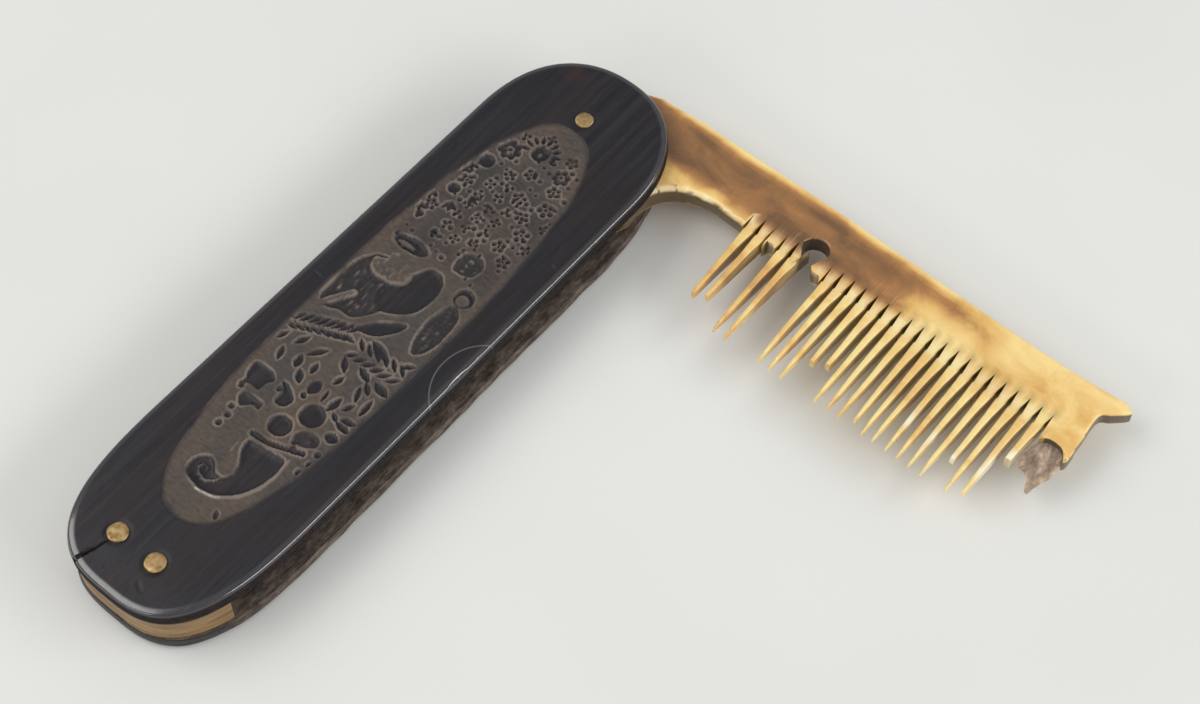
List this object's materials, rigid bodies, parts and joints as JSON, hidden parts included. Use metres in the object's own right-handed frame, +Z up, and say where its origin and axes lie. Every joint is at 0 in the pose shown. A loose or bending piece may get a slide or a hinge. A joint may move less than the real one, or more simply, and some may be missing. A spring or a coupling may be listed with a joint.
{
  "type": "folding pocket comb",
  "caption": "Folding pocket comb: a toothed horn comb that swings on a rivet out of a slotted case of two wooden plates, one of them carved.",
  "frame": {"origin": "middle of the flat underside of the case's bottom plate", "axes": "+Z up out of the carved face, +X along the case from its butt towards the pivot, -Y the way the open comb points"},
  "size_m": [0.1178, 0.1088, 0.011],
  "materials": {
    "carved_wood": "dark hardwood, hand carved, worn smooth and polished by handling",
    "plain_wood": "dark hardwood, scraped flat, rough on its inner face",
    "comb_horn": "blond horn, scraped and rubbed smooth, cloudy brown in places",
    "spacer_horn": "blond horn, filed flush, a little dirty",
    "brass": "brass rod hammered over, worn"
  },
  "bodies": {
    "case": {"bottom_scale": "plain_wood", "top_scale": "carved_wood", "butt_spacer": "spacer_horn", "pivot_rivet": "brass", "butt_rivet_left": "brass", "butt_rivet_right": "brass"},
    "comb": {"comb": "comb_horn"}
  },
  "joints": [
    {"name": "comb_fold", "type": "hinge", "parent": "case", "child": "comb", "pos_m": [0.0465, 0.0005, 0.0054], "axis": [0, 0, 1], "range_deg": [-90, 90]}
  ]
}
